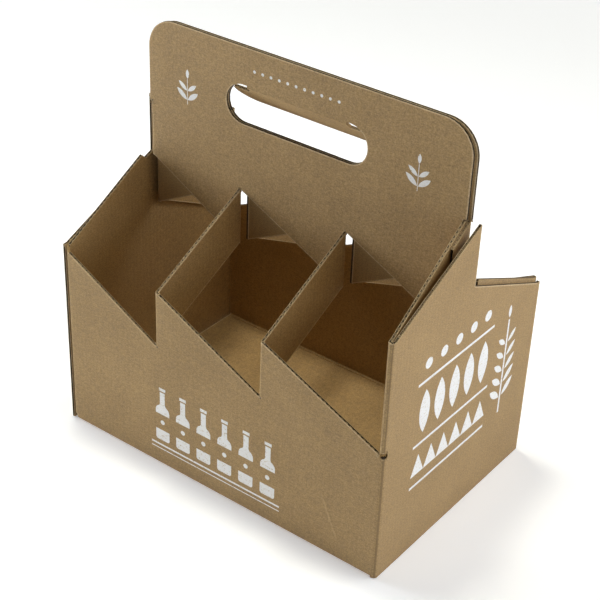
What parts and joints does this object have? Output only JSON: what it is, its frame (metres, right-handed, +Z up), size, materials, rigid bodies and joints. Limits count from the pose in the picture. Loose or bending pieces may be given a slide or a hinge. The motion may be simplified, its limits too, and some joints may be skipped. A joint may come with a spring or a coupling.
{
  "type": "bottle carrier",
  "caption": "Open-topped corrugated board carrier for bottles, with sawtooth walls, folded strap dividers and a tall middle handle sheet with a flapped hand hole.",
  "frame": {"origin": "on the floor below the middle of the carrier's outside length and depth", "axes": "+Z up, X along the carrier's length, the front long panel faces -Y"},
  "size_m": [0.22, 0.145, 0.233],
  "materials": {
    "kraft_board": "uncoated brown kraft liner, matt, with white ink print"
  },
  "bodies": {
    "carrier": {"front_half": "kraft_board", "back_half": "kraft_board"},
    "flap": {"handle_flap": "kraft_board"}
  },
  "joints": [
    {"name": "flap_fold", "type": "hinge", "parent": "carrier", "child": "flap", "pos_m": [-0.0058, -0.0008, 0.2105], "axis": [1, 0, 0], "range_deg": [-48, 42]}
  ]
}
